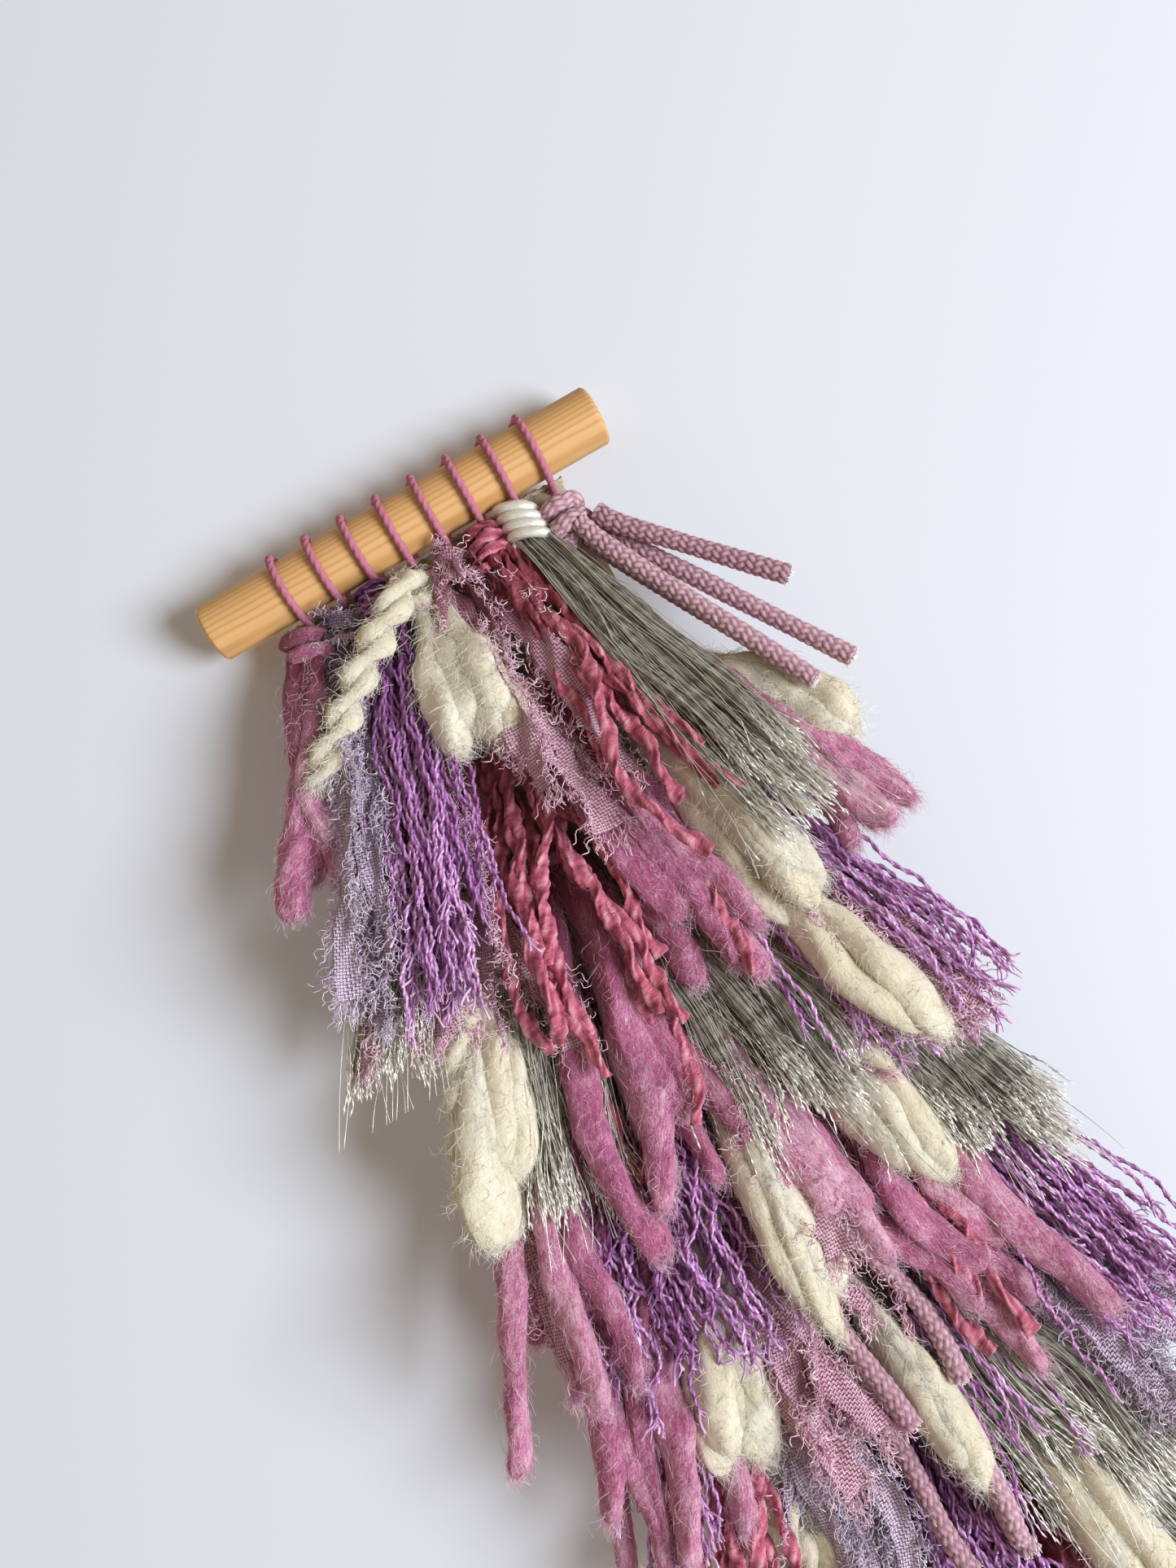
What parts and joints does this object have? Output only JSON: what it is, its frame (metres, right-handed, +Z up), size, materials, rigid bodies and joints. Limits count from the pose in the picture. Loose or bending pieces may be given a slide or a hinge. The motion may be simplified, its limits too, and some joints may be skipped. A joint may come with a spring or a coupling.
{
  "type": "tapestry wall hanging",
  "caption": "Pine dowel with a woven band laced under it, covered in overlapping rows of wool, linen, ribbon, thread and cord tassels.",
  "frame": {"origin": "centre of the dowel, where the hanging is held up", "axes": "+Z up, X along the dowel, -Y is the front that faces the room"},
  "size_m": [0.2349, 0.0555, 0.5874],
  "materials": {
    "pine": "straight-grained pale pine, sanded, oiled, sawn ends",
    "lacing": "orchid-pink twisted cotton cord, matt",
    "cotton": "ecru cotton plain weave, matt",
    "wool": "thick brushed wool strands, soft fuzzy orchid pink",
    "lilac_linen": "torn lilac linen strips with frayed curly edges",
    "mauve_linen": "torn mauve-pink linen strips with frayed curly edges",
    "purple_yarn": "glossy purple two-ply viscose yarn",
    "roving": "cream wool roving, soft, twisted slubs and loose puffs",
    "rose_ribbon": "crimped rose ribbon yarn with a silk sheen",
    "silver_thread": "fine silver-grey metallic thread, bright at the cut tips",
    "braid": "dusty mauve braided cotton cord with white core ends"
  },
  "bodies": {
    "dowel": {"dowel": "pine"},
    "weave": {"lacing_cord": "lacing", "woven_band": "cotton"},
    "row_01": {"row_01_01_wool": "wool", "row_01_02_lilac_linen": "lilac_linen", "row_01_03_purple_yarn": "purple_yarn", "row_01_04_roving": "roving", "row_01_05_mauve_linen": "mauve_linen", "row_01_06_rose_ribbon": "rose_ribbon", "row_01_07_silver_thread": "silver_thread", "row_01_braid_cord_1": "braid", "row_01_braid_cord_2": "braid", "row_01_braid_cord_3": "braid", "row_01_braid_cord_4": "braid", "row_01_braid_knot": "braid"},
    "row_02": {"row_02_01_silver_thread": "silver_thread", "row_02_02_mauve_linen": "mauve_linen", "row_02_03_rose_ribbon": "rose_ribbon", "row_02_04_wool": "wool", "row_02_05_roving": "roving", "row_02_06_wool": "wool"},
    "row_03": {"row_03_01_roving": "roving", "row_03_02_silver_thread": "silver_thread", "row_03_03_wool": "wool", "row_03_04_silver_thread": "silver_thread", "row_03_05_mauve_linen": "mauve_linen", "row_03_06_purple_yarn": "purple_yarn"},
    "row_04": {"row_04_01_wool": "wool", "row_04_02_purple_yarn": "purple_yarn", "row_04_03_wool": "wool", "row_04_04_roving": "roving", "row_04_05_silver_thread": "silver_thread"},
    "row_05": {"row_05_01_wool": "wool", "row_05_02_roving": "roving", "row_05_03_mauve_linen": "mauve_linen", "row_05_04_braid": "braid", "row_05_05_wool": "wool", "row_05_06_purple_yarn": "purple_yarn"},
    "row_06": {"row_06_01_rose_ribbon": "rose_ribbon", "row_06_02_lilac_linen": "lilac_linen", "row_06_03_braid": "braid", "row_06_04_silver_thread": "silver_thread", "row_06_05_lilac_linen": "lilac_linen"},
    "row_07": {"row_07_01_roving": "roving", "row_07_02_silver_thread": "silver_thread", "row_07_03_purple_yarn": "purple_yarn", "row_07_04_roving": "roving", "row_07_05_silver_thread": "silver_thread"},
    "row_08": {"row_08_01_wool": "wool", "row_08_02_mauve_linen": "mauve_linen", "row_08_03_rose_ribbon": "rose_ribbon", "row_08_04_wool": "wool"},
    "row_09": {"row_09_01_silver_thread": "silver_thread", "row_09_02_purple_yarn": "purple_yarn", "row_09_03_roving": "roving", "row_09_04_mauve_linen": "mauve_linen"},
    "row_10": {"row_10_01_lilac_linen": "lilac_linen", "row_10_02_wool": "wool", "row_10_03_silver_thread": "silver_thread", "row_10_04_purple_yarn": "purple_yarn"}
  },
  "joints": [
    {"name": "weave_swing", "type": "hinge", "parent": "dowel", "child": "weave", "pos_m": [0, 0, 0], "axis": [-1, 0, 0], "range_deg": [0, 70]},
    {"name": "row_01_lift", "type": "hinge", "parent": "weave", "child": "row_01", "pos_m": [0, -0.0035, -0.0215], "axis": [-1, 0, 0], "range_deg": [0, 40]},
    {"name": "row_02_lift", "type": "hinge", "parent": "weave", "child": "row_02", "pos_m": [0, -0.0035, -0.0695], "axis": [-1, 0, 0], "range_deg": [0, 40]},
    {"name": "row_03_lift", "type": "hinge", "parent": "weave", "child": "row_03", "pos_m": [0, -0.0035, -0.1175], "axis": [-1, 0, 0], "range_deg": [0, 40]},
    {"name": "row_04_lift", "type": "hinge", "parent": "weave", "child": "row_04", "pos_m": [0, -0.0035, -0.1655], "axis": [-1, 0, 0], "range_deg": [0, 40]},
    {"name": "row_05_lift", "type": "hinge", "parent": "weave", "child": "row_05", "pos_m": [0, -0.0035, -0.2135], "axis": [-1, 0, 0], "range_deg": [0, 40]},
    {"name": "row_06_lift", "type": "hinge", "parent": "weave", "child": "row_06", "pos_m": [0, -0.0035, -0.2615], "axis": [-1, 0, 0], "range_deg": [0, 40]},
    {"name": "row_07_lift", "type": "hinge", "parent": "weave", "child": "row_07", "pos_m": [0, -0.0035, -0.3095], "axis": [-1, 0, 0], "range_deg": [0, 40]},
    {"name": "row_08_lift", "type": "hinge", "parent": "weave", "child": "row_08", "pos_m": [0, -0.0035, -0.3575], "axis": [-1, 0, 0], "range_deg": [0, 40]},
    {"name": "row_09_lift", "type": "hinge", "parent": "weave", "child": "row_09", "pos_m": [0, -0.0035, -0.4055], "axis": [-1, 0, 0], "range_deg": [0, 40]},
    {"name": "row_10_lift", "type": "hinge", "parent": "weave", "child": "row_10", "pos_m": [0, -0.0035, -0.4535], "axis": [-1, 0, 0], "range_deg": [0, 40]}
  ],
  "couplings": [
    {"joint": "row_02_lift", "follows": "row_01_lift", "ratio": 1},
    {"joint": "row_03_lift", "follows": "row_01_lift", "ratio": 1},
    {"joint": "row_04_lift", "follows": "row_01_lift", "ratio": 1},
    {"joint": "row_05_lift", "follows": "row_01_lift", "ratio": 1},
    {"joint": "row_06_lift", "follows": "row_01_lift", "ratio": 1},
    {"joint": "row_07_lift", "follows": "row_01_lift", "ratio": 1},
    {"joint": "row_08_lift", "follows": "row_01_lift", "ratio": 1},
    {"joint": "row_09_lift", "follows": "row_01_lift", "ratio": 1},
    {"joint": "row_10_lift", "follows": "row_01_lift", "ratio": 1}
  ]
}
